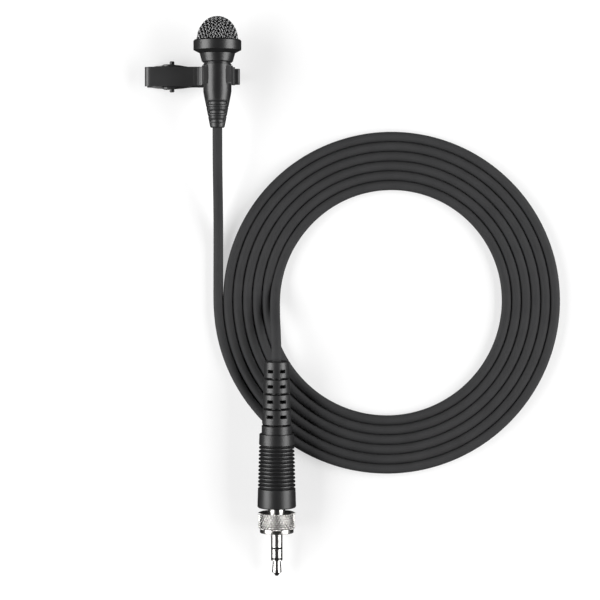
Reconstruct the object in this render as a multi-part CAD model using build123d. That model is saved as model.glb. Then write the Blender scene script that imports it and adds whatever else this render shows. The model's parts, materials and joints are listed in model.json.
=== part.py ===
from build123d import *
import os
from math import atan2, cos, pi, radians, sin, sqrt, tan

# A lavalier microphone laid flat: microphone, tie clip, coiled cord and locking jack plug.
# Millimetres. The surface that it lies on is Z 0, and the microphone points along +Y.
# Microphone pieces are turned about the Y axis, with Y measured from the clip's middle plane.

# Cord
cord_diameter = 2.9
coil_turns = 6
coil_gap = 0.06  # between two turns that lie side by side
coil_outer_radius = 51.3  # centreline of the outermost half turn
coil_centre = (51.3, -67.9)  # from the microphone's axis and the clip's middle plane
coil_edge_round = 1.4
tail_lift_angle = 35  # degrees of the innermost turn that already rise towards the plug

# Microphone housing, neck and head
housing_diameter = 8.5
housing_front = 3.45
housing_rear = -7.4
housing_rear_diameter = 7.6
housing_straight = 8.5  # length of the straight part, behind the front edge
housing_wall = 0.8
neck_groove = 0.36
neck_groove_depth = 0.25
neck_length = 2.7
neck_rear_step = 0.45  # radial, over the housing
neck_shoulder = 0.75  # radial, over the head
neck_spigot_length = 2.6
neck_spigot_wall = 0.5
capsule_seat = 0.6  # length of the lip that the capsule sits on
head_wall = 1.0
head_length = 4.4
capsule_diameter = 5.8
capsule_length = 5.6
capsule_wall = 0.25
capsule_inlet_diameter = 1.4
diaphragm_rim = 0.4
diaphragm_rim_height = 0.5
diaphragm_film = 0.1
backplate_gap = 0.1
backplate_thickness = 0.7
spacer_wall = 0.5
capsule_board_thickness = 0.6
sleeve_wall = 0.7
capsule_setback = 0.3  # capsule's face behind the head's face
screen_thickness = 0.15

# Windscreen
windscreen_gap = 0.1  # ring to neck
grille_ring_wall = 0.925  # outside the dome
grille_ring_length = 4.0
grille_ring_chamfer = 0.92
grille_ring_rear_land = 0.775  # radial, round the head
dome_height = 7.45
dome_top_share = 0.89  # radius of the dome's crown over its base radius
dome_wall = 0.35
dome_seat_depth = 0.9
dome_seat_fit = 0.06
foam_gap = 0.1
foam_wall = 1.15
windscreen_fit = 0.05  # radial, ring bore on head
ring_bore_length = 2.4

# Microphone strain relief
boot_length = 8.46
boot_end_diameter = 4.3
boot_end_chamfer = 0.35
boot_core_share = 0.9  # pocket floor's radius over the cone's radius
boot_pocket_starts = (0.6, 3.28, 5.93)  # behind the housing
boot_pocket_length = 1.1
boot_pocket_half_angle = 60
boot_spigot_length = 2.2
crimp_wall = 0.45
crimp_length = 3.2
wire_diameter = 0.7
wire_spread = 0.62

# Amplifier board
board_width = 4.6
board_thickness = 0.8
board_length = 5.4
board_gap = 0.5
chip_size = (1.8, 1.6, 0.6)
chip_setback = 0.8  # behind the board's front edge
capacitor_size = (1.2, 1.2, 0.7)
capacitor_setback = 3.2

# Tie clip
sheet = 0.6
lever_width = 6.1
jaw_width = 4.6
jaw_shoulder_setback = 1.7  # inside the clasp's outer radius
jaw_shoulder_length = 1.2
lever_tail_reach = 22.25  # from the microphone's axis
jaw_reach = 6.63
lever_bend_radius = 0.9  # centreline
tail_curl_depth = 1.9
jaw_lip_depth = 1.9
clasp_fit = 0.05  # radial, clasp on housing
clasp_thickness = 0.35
clasp_width = 5.5
clasp_ramp_reach = (7.0, 5.2)  # from the axis towards the tail and towards the jaw
clasp_ramp_rise = 1.5
clasp_opening_half_angle = 43
clasp_lip_length = 1.05
clasp_lip_width = 4.7
clasp_lip_lean = 30  # degrees outward from upright
clasp_foot_width = 3.4
clasp_foot_gap = 0.6
rivet_diameter = 1.6
rivet_head_diameter = 3.0
rivet_head_height = 0.55
rivet_flush_diameter = 2.2
rivet_flush_depth = 0.3
rivet_setback = 0.05  # of its flush end inside the clasp
pivot_reach = 14.0  # from the microphone's axis
pivot_drop = 1.6  # below the upper lever's underside
pivot_diameter = 1.43
pivot_end = 0.97  # of the pin outside each ear
pivot_fit = 0.04
ear_gap = 0.08
ear_radius = 1.25
ear_flare = 1.2  # wider at the lever than at the pivot, each side
channel_drop = 2.0  # lower lever's floor below the pivot
channel_reach = 3.3  # lower lever's flat floor, each side of the pivot
lower_tail_rise = 0.55  # floor of the lever at the pivot above its tail end
lower_tail_inset = 0.6  # its tail end inside the upper lever's
belly_start = 3.6  # towards the tail from the microphone's axis
belly_rise = 0.1
jaw_ramp_length = 3.4
jaw_ramp_rise = 0.7
lower_bend_radii = (2.5, 2.5, 4.0, 4.0, 1.2)
lower_lip_height = 1.1
jaw_gap_at_rest = 0.12
tooth_count = 9
tooth_pitch = 0.55
tooth_depth = 0.22
spring_wire = 0.4
spring_rings = 5
spring_ring_gap = 0.05
spring_play = 0.12

# Plug
plug_tilt = 5.0  # degrees, rear end up on the coil
plug_axis_x = 17.85
plug_face_y = -138.25  # mouth of the coupling nut
floor_gap = 0.02  # under the coupling nut
jack_diameter = 3.5
jack_sleeve_end = 4.42  # distances ahead of the coupling nut's mouth
jack_ring_start = 5.03
jack_ring_end = 7.63
jack_tip_start = 8.2
jack_tip_end = 13.25
jack_nose = ((0.42, 0.0), (0.6, 0.25), (0.75, 0.6), (1.45, 1.1), (1.45, 1.4))  # radius, setback
jack_waist_inset = 0.57
jack_collar_length = 0.3
jack_shoulder = 0.35  # radial, where the sleeve thickens inside the coupling nut
jack_shoulder_start = 0.3
contact_wall = 0.35
insulator_wall = 0.3
terminal_steps = (0.6, 1.4, 2.0, 2.8)  # ends of the nested tubes behind the terminal block
nut_diameter = 11.28
nut_skirt_diameter = 10.05
nut_skirt_length = 1.68
nut_length = 6.1
nut_thread_diameter = 6.7
nut_web = 1.5
nut_edge = 0.3
nut_fit = 0.05
neck_tube_wall = 0.5
neck_flange = 1.0
stop_ring_gap = 0.25  # radial, inside the coupling nut's thread
stop_ring_length = 0.6
washer_side_gap = 0.15
washer_thickness = 0.5
washer_gap = 0.08
barrel_front = 7.7  # behind the coupling nut's mouth
barrel_length = 22.5
barrel_front_diameter = 11.7
barrel_rear_diameter = 10.5
barrel_wall = 1.05  # at the rear end
barrel_lip = 2.0
rib_count = 11
rib_pitch = 1.15
rib_depth = 0.35
rib_crest = 0.44  # share of the pitch
rib_root = 0.2  # share of the pitch
rib_start = 6.2  # first groove behind the barrel's front
cap_length = 2.6
cap_diameter = 9.1
cap_spigot_length = 4.0
relief_length = 19.1
relief_gap = 0.3
relief_front_diameter = 8.85
relief_rear_diameter = 7.3
relief_core_diameter = 4.2
relief_rows = 4
relief_pitch = 4.59
relief_first_slot = 2.5  # front edge to the first side slot's middle
relief_side_slot = 0.9
relief_face_slot = 0.55
relief_web = 1.96
relief_spigot_diameter = 6.0
relief_spigot_length = 5.0
core_diameter = 6.6
core_length = 6.0
core_flange = 1.2
plug_wire_spread = 0.8
plug_clamp_wall = 0.5
plug_clamp_length = 3.0
cord_grip = 2.4  # cord inside a strain relief's mouth

cord_radius = cord_diameter / 2
housing_radius = housing_diameter / 2
housing_bore = housing_radius - housing_wall
sleeve_radius = capsule_diameter / 2 + sleeve_wall
head_diameter = 2 * (sleeve_radius + head_wall)
foam_bore = head_diameter / 2 + foam_gap
dome_diameter = 2 * (foam_bore + foam_wall + foam_gap + dome_wall)
grille_ring_diameter = dome_diameter + 2 * grille_ring_wall
head_face = housing_front + neck_groove + neck_length + head_length
capsule_face = head_face - capsule_setback
capsule_rear = capsule_face - capsule_length
ring_rear = housing_front + neck_groove + neck_length + windscreen_gap
ring_front = ring_rear + grille_ring_length
dome_seat = ring_front - dome_seat_depth
boot_end = housing_rear - boot_length
coil_pitch = cord_diameter + coil_gap

clasp_inner = housing_radius + clasp_fit
clasp_outer = clasp_inner + clasp_thickness
plate_top = -(clasp_outer + clasp_foot_gap)
plate_bottom = plate_top - sheet
pivot_z = plate_bottom - pivot_drop
floor_top = pivot_z - channel_drop
tail_bottom = floor_top - sheet - lower_tail_rise
axis_height = -tail_bottom

shoulder_radius = jack_diameter / 2 + jack_shoulder
neck_tube_diameter = 2 * (shoulder_radius + neck_tube_wall)
barrel_bore = barrel_rear_diameter - 2 * barrel_wall
relief_start = barrel_front + barrel_length + cap_length + relief_gap

# The row's origin is below the middle of the microphone and clip's box.
row_x = (lever_tail_reach - grille_ring_diameter / 2) / 2
row_y = -(ring_front + dome_height + boot_end) / 2


def turned(points):
    """A solid of revolution about Y from (radius, y) points."""
    return revolve(make_face(Polyline(*points, close=True)), Axis.Y)


def tube(outer, inner, low, high):
    return turned([(inner, low), (outer, low), (outer, high), (inner, high)])


def rod(radius, low, high):
    return turned([(0, low), (radius, low), (radius, high), (0, high)])


def dome(radius, height, base):
    """A tall dome about Y from two tangent arcs, with its flat face at base."""
    top_radius = radius * dome_top_share
    top_centre = height - top_radius
    side_radius = (radius**2 + top_centre**2 - top_radius**2) / (2 * (radius - top_radius))
    meet = atan2(top_centre, side_radius - radius)
    side_centre = radius - side_radius
    join = (side_centre + side_radius * cos(meet), base + side_radius * sin(meet))
    side_middle = (side_centre + side_radius * cos(meet / 2), base + side_radius * sin(meet / 2))
    top_angle = (meet + pi / 2) / 2
    top_middle = (top_radius * cos(top_angle), base + top_centre + top_radius * sin(top_angle))
    side = ThreePointArc((radius, base), side_middle, join)
    top = ThreePointArc(join, top_middle, (0, base + height))
    edge = Polyline((0, base + height), (0, base), (radius, base))
    return revolve(make_face(side + top + edge), Axis.Y)


def block(low, high):
    """A box between two corners."""
    size = [h - l for l, h in zip(low, high)]
    middle = [(h + l) / 2 for l, h in zip(low, high)]
    return Pos(*middle) * Box(*size)


# Microphone ---------------------------------------------------------------------------------


def mic_housing():
    straight_end = housing_front - housing_straight
    rear = housing_rear_diameter / 2
    edge = 0.2
    return turned(
        [
            (rear - housing_wall, housing_rear),
            (rear, housing_rear),
            (housing_radius, straight_end),
            (housing_radius, housing_front - edge),
            (housing_radius - edge, housing_front),
            (housing_bore, housing_front),
            (housing_bore, straight_end),
        ]
    )


def neck_ring():
    """The flared band, its spigot in the housing and the head that carries the windscreen."""
    band_rear = housing_front + neck_groove
    band_front = band_rear + neck_length
    spigot_bore = housing_bore - neck_spigot_wall
    edge = 0.3
    return turned(
        [
            (spigot_bore, housing_front - neck_spigot_length),
            (housing_bore, housing_front - neck_spigot_length),
            (housing_bore, housing_front),
            (housing_radius - neck_groove_depth, housing_front),
            (housing_radius - neck_groove_depth, band_rear),
            (housing_radius + neck_rear_step - edge, band_rear),
            (housing_radius + neck_rear_step, band_rear + edge),
            (head_diameter / 2 + neck_shoulder, band_front),
            (head_diameter / 2, band_front),
            (head_diameter / 2, head_face - edge),
            (head_diameter / 2 - edge, head_face),
            (sleeve_radius, head_face),
            (sleeve_radius, capsule_rear),
            (capsule_diameter / 2, capsule_rear),
            (capsule_diameter / 2, capsule_rear - capsule_seat),
            (spigot_bore, capsule_rear - capsule_seat),
        ]
    )


def capsule_sleeve():
    return tube(sleeve_radius, capsule_diameter / 2, capsule_rear, capsule_face)


def capsule_can():
    """A deep-drawn cup with the sound inlet in its closed face."""
    outer = capsule_diameter / 2
    inner = outer - capsule_wall
    inlet = capsule_inlet_diameter / 2
    return turned(
        [
            (inner, capsule_rear),
            (outer, capsule_rear),
            (outer, capsule_face),
            (inlet, capsule_face),
            (inlet, capsule_face - capsule_wall),
            (inner, capsule_face - capsule_wall),
        ]
    )


def capsule_inside():
    """The tensioned diaphragm on its ring, the spacer with the backplate, and the rear board."""
    inner = capsule_diameter / 2 - capsule_wall
    front = capsule_face - capsule_wall
    film = front - diaphragm_rim_height
    plate_front = film - backplate_gap
    plate_rear = plate_front - backplate_thickness
    board_front = capsule_rear + capsule_board_thickness
    diaphragm = tube(inner, inner - diaphragm_rim, film, front)
    diaphragm += rod(inner - diaphragm_rim, film, film + diaphragm_film)
    backplate = rod(inner, plate_rear, plate_front)
    spacer = tube(inner, inner - spacer_wall, board_front, plate_rear)
    board = rod(inner, capsule_rear, board_front)
    return diaphragm, backplate, spacer, board


def inlet_screen():
    """The fine screen over the head's mouth, inside the windscreen."""
    return rod(sleeve_radius, capsule_face, capsule_face + screen_thickness)


def amplifier_board():
    front = housing_front - neck_spigot_length - board_gap
    board = block(
        (-board_width / 2, front - board_length, -board_thickness / 2),
        (board_width / 2, front, board_thickness / 2),
    )
    for (width, length, height), setback in ((chip_size, chip_setback), (capacitor_size, capacitor_setback)):
        board += block(
            (-width / 2, front - setback - length, board_thickness / 2),
            (width / 2, front - setback, board_thickness / 2 + height),
        )
    return board


def mic_strain_relief():
    """A cone with three pockets front and back, and webs at its sides."""
    front = housing_rear_diameter / 2
    rear = boot_end_diameter / 2
    spigot = front - housing_wall
    slope = (front - rear) / boot_length
    cone = turned(
        [
            (cord_radius, boot_end),
            (rear - boot_end_chamfer, boot_end),
            (rear, boot_end + boot_end_chamfer),
            (front, housing_rear),
            (spigot, housing_rear),
            (spigot, housing_rear + boot_spigot_length),
            (cord_radius + crimp_wall, housing_rear + boot_spigot_length),
            (cord_radius + crimp_wall, housing_rear + boot_spigot_length - crimp_length),
            (cord_radius, housing_rear + boot_spigot_length - crimp_length),
        ]
    )
    core = turned(
        [
            (0, boot_end),
            (rear * boot_core_share, boot_end),
            (front * boot_core_share, housing_rear),
            (0, housing_rear),
        ]
    )
    for start in boot_pocket_starts:
        high = housing_rear - start
        low = high - boot_pocket_length
        radius = front - slope * (start + boot_pocket_length / 2)
        half_width = radius * sin(radians(boot_pocket_half_angle))
        slab = block((-half_width, low, -front), (half_width, high, front))
        cone -= slab - core
    return cone


def mic_crimp():
    """The crimp that grips the cord's screen inside the strain relief."""
    high = housing_rear + boot_spigot_length
    return tube(cord_radius + crimp_wall, cord_radius, high - crimp_length, high)


def mic_core_wires():
    """The cord's two conductors, from its cut end to the board."""
    board_rear = housing_front - neck_spigot_length - board_gap - board_length
    low = boot_end + cord_grip
    wires = []
    for side in (-1, 1):
        wire = rod(wire_diameter / 2, low, board_rear)
        wires.append(Pos(side * wire_spread, 0, 0) * wire)
    return Compound(children=wires)


# Windscreen ---------------------------------------------------------------------------------


def grille_ring():
    outer = grille_ring_diameter / 2
    bore = head_diameter / 2 + windscreen_fit
    seat = dome_diameter / 2 + dome_seat_fit
    foam_seat = foam_bore + foam_wall
    edge = 0.35
    return turned(
        [
            (bore, ring_rear),
            (bore + grille_ring_rear_land, ring_rear),
            (outer, ring_rear + grille_ring_chamfer),
            (outer, ring_front - edge),
            (outer - edge, ring_front),
            (seat, ring_front),
            (seat, dome_seat),
            (foam_seat, dome_seat),
            (foam_seat, ring_rear + ring_bore_length),
            (bore, ring_rear + ring_bore_length),
        ]
    )


def grille_mesh():
    """The outer form of the woven dome and its skirt in the ring."""
    outer = dome_diameter / 2
    inner = outer - dome_wall
    shell = dome(outer, dome_height, ring_front)
    shell -= dome(inner, dome_height - dome_wall, ring_front)
    return shell + tube(outer, inner, dome_seat, ring_front)


def windscreen_foam():
    """The foam liner, hollow where the head comes up inside it."""
    outer = foam_bore + foam_wall
    foam = dome(outer, dome_height - dome_wall - foam_gap, ring_front)
    foam += rod(outer, ring_rear + ring_bore_length, ring_front)
    return foam - rod(foam_bore, ring_rear, head_face + foam_gap)


# Tie clip -----------------------------------------------------------------------------------


def strip(points, radii, width):
    """Bent sheet: a path in XZ with rounded corners, thickened and given a width along Y."""
    path = FilletPolyline(*points, radius=radii)
    section = trace(path, sheet)
    return extrude(Plane.XZ * section, width / 2, both=True)


def jaw_plan(tail):
    """The plan outline that narrows both levers from the tail's width to the jaw's."""
    shoulder = clasp_outer - jaw_shoulder_setback
    taper = shoulder - jaw_shoulder_length
    outline = Polyline(
        (-tail, -lever_width / 2),
        (taper, -lever_width / 2),
        (shoulder, -jaw_width / 2),
        (jaw_reach, -jaw_width / 2),
        (jaw_reach, jaw_width / 2),
        (shoulder, jaw_width / 2),
        (taper, lever_width / 2),
        (-tail, lever_width / 2),
        close=True,
    )
    return extrude(make_face(outline), tail, both=True)


def ear(y_low, y_high, bottom, top, hole):
    """A pair of side ears round the pivot, in the XZ plane."""
    outline = Plane.XZ * (
        Pos(-pivot_reach, pivot_z) * Circle(ear_radius)
        + Polygon(
            (-pivot_reach - ear_radius - ear_flare, bottom),
            (-pivot_reach + ear_radius + ear_flare, bottom),
            (-pivot_reach + ear_radius, top),
            (-pivot_reach - ear_radius, top),
            align=None,
        )
    )
    outline -= Plane.XZ * (Pos(-pivot_reach, pivot_z) * Circle(hole))
    right = Pos(0, y_high, 0) * extrude(outline, y_high - y_low)
    left = Pos(0, -y_low, 0) * extrude(outline, y_high - y_low)
    return right, left


def tooth_cuts(edge_z):
    """Grooves across the jaws' meeting faces."""
    side = tooth_depth * sqrt(2)
    cuts = []
    for i in range(tooth_count):
        y = (i - (tooth_count - 1) / 2) * tooth_pitch
        groove = Rot(45, 0, 0) * Box(4 * sheet, side, side)
        cuts.append(Pos(jaw_reach - sheet / 2, y, edge_z) * groove)
    return cuts


def clip_upper_lever():
    half = sheet / 2
    mid = plate_top - half
    path = [
        (-lever_tail_reach + half, mid - tail_curl_depth),
        (-lever_tail_reach + half, mid),
        (jaw_reach - half, mid),
        (jaw_reach - half, mid - jaw_lip_depth),
    ]
    lever = strip(path, lever_bend_radius, lever_width) & jaw_plan(lever_tail_reach)
    inner = lever_width / 2 - sheet
    for part in ear(inner, inner + sheet, pivot_z, plate_bottom, pivot_diameter / 2):
        lever += part
    for cut in tooth_cuts(mid - jaw_lip_depth):
        lever -= cut
    return lever - block_cylinder(rivet_diameter / 2, plate_bottom, plate_top)


def clip_lower_lever():
    half = sheet / 2
    lip_top = plate_top - half - jaw_lip_depth - jaw_gap_at_rest
    path = [
        (-lever_tail_reach + lower_tail_inset, tail_bottom + half),
        (-pivot_reach - channel_reach, floor_top - half),
        (-pivot_reach + channel_reach, floor_top - half),
        (-belly_start, tail_bottom + half + belly_rise),
        (jaw_reach - jaw_ramp_length, tail_bottom + half + jaw_ramp_rise),
        (jaw_reach - half, lip_top - lower_lip_height),
        (jaw_reach - half, lip_top),
    ]
    lever = strip(path, lower_bend_radii, lever_width) & jaw_plan(lever_tail_reach)
    inner = lever_width / 2 + ear_gap
    base = block(
        (-pivot_reach - ear_radius - ear_flare, -inner - sheet, floor_top - sheet),
        (-pivot_reach + ear_radius + ear_flare, inner + sheet, floor_top),
    )
    lever += base
    hole = pivot_diameter / 2 + pivot_fit
    for part in ear(inner, inner + sheet, floor_top - half, pivot_z + ear_radius, hole):
        lever += part
    for cut in tooth_cuts(lip_top):
        lever -= cut
    return lever


def pivot_pin():
    pin = Cylinder(pivot_diameter / 2, lever_width + 2 * (ear_gap + sheet + pivot_end))
    pin = chamfer(pin.edges().filter_by(GeomType.CIRCLE), 0.2)
    return Pos(-pivot_reach, 0, pivot_z) * Rot(90, 0, 0) * pin


def torsion_spring():
    """Closed rings round the pin."""
    ring_radius = pivot_diameter / 2 + spring_play + spring_wire / 2
    rings = []
    for i in range(spring_rings):
        y = (i - (spring_rings - 1) / 2) * (spring_wire + spring_ring_gap)
        ring = Rot(90, 0, 0) * Torus(ring_radius, spring_wire / 2)
        rings.append(Pos(-pivot_reach, y, pivot_z) * ring)
    return Compound(children=rings)


def mic_clasp():
    """The open ring that snaps round the housing, and its two arms that stand on the upper lever."""
    width = clasp_width
    ring = Rot(90, 0, 0) * (Cylinder(clasp_outer, width) - Cylinder(clasp_inner, width))
    reach = clasp_outer * 2
    half_angle = radians(clasp_opening_half_angle)
    wedge = Polygon(
        (0, 0),
        (reach * sin(half_angle), reach * cos(half_angle)),
        (-reach * sin(half_angle), reach * cos(half_angle)),
        align=None,
    )
    ring -= extrude(Plane.XZ * wedge, width, both=True)
    foot = block(
        (-clasp_foot_width / 2, -width / 2, plate_top),
        (clasp_foot_width / 2, width / 2, -clasp_inner - clasp_thickness / 2),
    )
    clasp = ring + foot
    for side, ramp_reach in zip((-1, 1), clasp_ramp_reach):
        clasp += clasp_arm(side, ramp_reach)
    mid_radius = clasp_inner + clasp_thickness / 2
    lip_root = 0.25  # of the lip inside the ring's end
    for side in (-1, 1):
        lip = Box(clasp_thickness, clasp_lip_width, clasp_lip_length + lip_root)
        lip = Pos(0, 0, (clasp_lip_length - lip_root) / 2) * lip
        root = Pos(side * mid_radius * sin(half_angle), 0, mid_radius * cos(half_angle))
        clasp += root * Rot(0, side * clasp_lip_lean, 0) * lip
    clasp -= Rot(90, 0, 0) * Cylinder(clasp_inner, width * 2)
    clasp -= block_cylinder(rivet_diameter / 2, plate_top, -clasp_inner)
    return clasp - block_cylinder(rivet_flush_diameter / 2, -clasp_inner - rivet_flush_depth, 0)


def clasp_arm(side, ramp_reach):
    """Sheet from the ring's side straight down, then out along a ramp to the plate."""
    ramp_top = plate_top + clasp_ramp_rise
    ramp_run = ramp_reach - clasp_outer
    foot_run = clasp_thickness * sqrt(ramp_run**2 + clasp_ramp_rise**2) / clasp_ramp_rise
    outline = Polygon(
        (side * clasp_outer, 0),
        (side * clasp_outer, ramp_top),
        (side * ramp_reach, plate_top),
        (side * (ramp_reach - foot_run), plate_top),
        (side * clasp_inner, ramp_top - clasp_thickness / 2),
        (side * clasp_inner, 0),
        align=None,
    )
    return extrude(Plane.XZ * outline, clasp_width / 2, both=True)


def clasp_rivet():
    top = -clasp_inner - rivet_setback
    shank = block_cylinder(rivet_diameter / 2, plate_bottom, top)
    flush_head = block_cylinder(rivet_flush_diameter / 2, -clasp_inner - rivet_flush_depth, top)
    head = block_cylinder(rivet_head_diameter / 2, plate_bottom - rivet_head_height, plate_bottom)
    head = fillet(head.edges().group_by(Axis.Z)[0], rivet_head_height * 0.7)
    return shank + flush_head + head


def block_cylinder(radius, low, high):
    """An upright cylinder between two heights."""
    return Pos(0, 0, (low + high) / 2) * Cylinder(radius, high - low)


# Plug: turned about Y, with the coupling nut's mouth at Y 0 and the jack towards -Y ---------


def jack_bores():
    """Radii of the concentric tubes behind the jack's contacts, outermost first."""
    sleeve_bore = jack_diameter / 2 - contact_wall
    ring_outer = sleeve_bore - insulator_wall
    ring_bore = ring_outer - contact_wall
    tip_rod = ring_bore - insulator_wall / 2
    return sleeve_bore, ring_outer, ring_bore, tip_rod


def core_span():
    low = barrel_front + barrel_lip
    return low, low + core_length


def jack_pieces():
    """Sleeve, ring and tip contacts and the two insulators, nested one in another."""
    sleeve_bore, ring_outer, ring_bore, tip_rod = jack_bores()
    radius = jack_diameter / 2
    low, high = core_span()
    sleeve_end, ring_end, tube_end, rod_end = [high + terminal_step for terminal_step in terminal_steps]
    sleeve = tube(radius, sleeve_bore, -jack_sleeve_end, jack_shoulder_start)
    sleeve += tube(shoulder_radius, sleeve_bore, jack_shoulder_start, high)
    sleeve_insulator = tube(radius, ring_outer, -jack_ring_start, -jack_sleeve_end)
    sleeve_insulator += tube(sleeve_bore, ring_outer, -jack_sleeve_end, sleeve_end)
    ring = tube(radius, ring_bore, -jack_ring_end, -jack_ring_start)
    ring += tube(ring_outer, ring_bore, -jack_ring_start, ring_end)
    ring_insulator = tube(radius, tip_rod, -jack_tip_start, -jack_ring_end)
    ring_insulator += tube(ring_bore, tip_rod, -jack_ring_end, tube_end)
    points = [(0, -jack_tip_end)]
    for nose_radius, setback in jack_nose:
        points.append((nose_radius, -jack_tip_end + setback))
    points += [
        (radius - jack_waist_inset, -jack_tip_start - jack_collar_length - 0.25),
        (radius, -jack_tip_start - jack_collar_length),
        (radius, -jack_tip_start),
        (tip_rod, -jack_tip_start),
        (tip_rod, rod_end),
        (0, rod_end),
    ]
    tip = turned(points)
    return sleeve, sleeve_insulator, ring, ring_insulator, tip


def nut_web_face():
    return nut_length - nut_web


def plug_neck():
    """The tube that the coupling nut runs on, with its flange inside the barrel."""
    low, high = core_span()
    bore = shoulder_radius
    front = nut_web_face() - washer_thickness - 2 * washer_gap - stop_ring_length
    return turned(
        [
            (bore, front),
            (neck_tube_diameter / 2, front),
            (neck_tube_diameter / 2, low),
            (barrel_bore / 2, low),
            (barrel_bore / 2, low + neck_flange),
            (bore, low + neck_flange),
        ]
    )


def nut_stop_ring():
    """The pressed ring that keeps the coupling nut on its neck."""
    high = nut_web_face() - washer_thickness - 2 * washer_gap
    outer = nut_thread_diameter / 2 - stop_ring_gap
    return tube(outer, neck_tube_diameter / 2, high - stop_ring_length, high)


def nut_washer():
    high = nut_web_face() - washer_gap
    inner = neck_tube_diameter / 2 + nut_fit
    return tube(nut_thread_diameter / 2 - washer_side_gap, inner, high - washer_thickness, high)


def coupling_nut():
    outer = nut_diameter / 2
    skirt = nut_skirt_diameter / 2
    thread = nut_thread_diameter / 2
    bore = neck_tube_diameter / 2 + nut_fit
    return turned(
        [
            (thread + nut_edge, 0),
            (skirt, 0),
            (skirt, nut_skirt_length),
            (outer - nut_edge, nut_skirt_length),
            (outer, nut_skirt_length + nut_edge),
            (outer, nut_length - nut_edge),
            (outer - nut_edge, nut_length),
            (bore, nut_length),
            (bore, nut_web_face()),
            (thread, nut_web_face()),
            (thread, nut_edge),
        ]
    )


def barrel_radius(y):
    share = (y - barrel_front) / barrel_length
    return (barrel_front_diameter + (barrel_rear_diameter - barrel_front_diameter) * share) / 2


def plug_barrel():
    """The tapered shell with its grip ribs."""
    front = barrel_front
    rear = barrel_front + barrel_length
    front_edge = 0.4
    rear_edge = 0.2
    slope = rib_pitch * (1 - rib_crest) / 2
    root = rib_pitch * rib_root / 2
    points = [
        (neck_tube_diameter / 2, front),
        (barrel_radius(front) - front_edge, front),
        (barrel_radius(front), front + front_edge),
    ]
    first = front + rib_start
    for i in range(rib_count + 1):
        y = first + i * rib_pitch
        radius = barrel_radius(y)
        points += [
            (radius, y - slope),
            (radius - rib_depth, y - root),
            (radius - rib_depth, y + root),
            (radius, y + slope),
        ]
    points += [
        (barrel_radius(rear), rear - rear_edge),
        (barrel_radius(rear) - rear_edge, rear),
        (barrel_bore / 2, rear),
        (barrel_bore / 2, front + barrel_lip),
        (neck_tube_diameter / 2, front + barrel_lip),
    ]
    return turned(points)


def terminal_block():
    """The moulded insulator that carries the jack's terminals."""
    low, high = core_span()
    return turned(
        [
            (shoulder_radius, low + neck_flange),
            (barrel_bore / 2, low + neck_flange),
            (barrel_bore / 2, low + neck_flange + core_flange),
            (core_diameter / 2, low + neck_flange + core_flange),
            (core_diameter / 2, high),
            (shoulder_radius, high),
        ]
    )


def end_cap():
    """The rear bush that closes the barrel round the strain relief's spigot."""
    rear = barrel_front + barrel_length
    spigot = relief_spigot_diameter / 2
    edge = 0.2
    return turned(
        [
            (spigot, rear - cap_spigot_length),
            (barrel_bore / 2, rear - cap_spigot_length),
            (barrel_bore / 2, rear),
            (cap_diameter / 2, rear),
            (cap_diameter / 2, rear + cap_length - edge),
            (cap_diameter / 2 - edge, rear + cap_length),
            (spigot, rear + cap_length),
        ]
    )


def plug_strain_relief():
    """The slotted sleeve: side slots and face slots by turns down to its core."""
    low = relief_start
    high = low + relief_length
    front = relief_front_diameter / 2
    rear = relief_rear_diameter / 2
    spigot = relief_spigot_diameter / 2
    edge = 0.3
    sleeve = turned(
        [
            (cord_radius, low - relief_spigot_length),
            (spigot, low - relief_spigot_length),
            (spigot, low),
            (front, low),
            (rear, high - edge),
            (rear - edge, high),
            (cord_radius, high),
        ]
    )
    side_web = block((-relief_web / 2, low, -front), (relief_web / 2, high, front))
    face_web = block((-front, low, -relief_web / 2), (front, high, relief_web / 2))
    for i in range(relief_rows):
        side_y = low + relief_first_slot + i * relief_pitch
        sleeve -= relief_cut(side_y, relief_side_slot) - side_web
        if i < relief_rows - 1:
            sleeve -= relief_cut(side_y + relief_pitch / 2, relief_face_slot) - face_web
    return sleeve


def relief_cut(middle, width):
    """The ring that one row of slots takes out of the sleeve, before its webs are kept."""
    return tube(relief_front_diameter / 2, relief_core_diameter / 2, middle - width / 2, middle + width / 2)


def plug_clamp():
    """The crimp that grips the cord ahead of the strain relief's spigot."""
    high = relief_start - relief_spigot_length
    return tube(cord_radius + plug_clamp_wall, cord_radius, high - plug_clamp_length, high)


def plug_core_wires():
    """Three conductors from the cord's cut end to the jack's terminals."""
    low = core_span()[1] + terminal_steps[-1]
    high = relief_start + relief_length - cord_grip
    wires = []
    for i in range(3):
        angle = radians(90 + 120 * i)
        wire = rod(wire_diameter / 2, low, high)
        wires.append(Pos(plug_wire_spread * cos(angle), 0, plug_wire_spread * sin(angle)) * wire)
    return Compound(children=wires)


def plug_place():
    """The coupling nut touches the surface, and the rear end rises over the coil."""
    tilt = radians(plug_tilt)
    nut_low_y = nut_skirt_length + nut_edge
    height = floor_gap + nut_diameter / 2 * cos(tilt) - nut_low_y * sin(tilt)
    return Pos(plug_axis_x, plug_face_y, height) * Rot(plug_tilt, 0, 0)


# Cord ---------------------------------------------------------------------------------------


def plug_rear(inside):
    """A point on the plug's axis, that far inside its strain relief's mouth."""
    place = plug_place() * Pos(0, relief_start + relief_length - inside, 0)
    return (place.position.X, place.position.Y, place.position.Z)


def lead_points():
    """From the microphone's strain relief down to the surface and into the coil."""
    return [
        (0.0, boot_end + cord_grip, axis_height),
        (0.0, -22.9, axis_height),
        (0.03, -32.2, axis_height - 2.9),
        (0.08, -41.4, axis_height - 6.6),
        (0.04, -50.4, cord_radius),
        (0.0, -59.4, cord_radius),
        (coil_centre[0] - coil_outer_radius, coil_centre[1], cord_radius),
    ]


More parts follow.
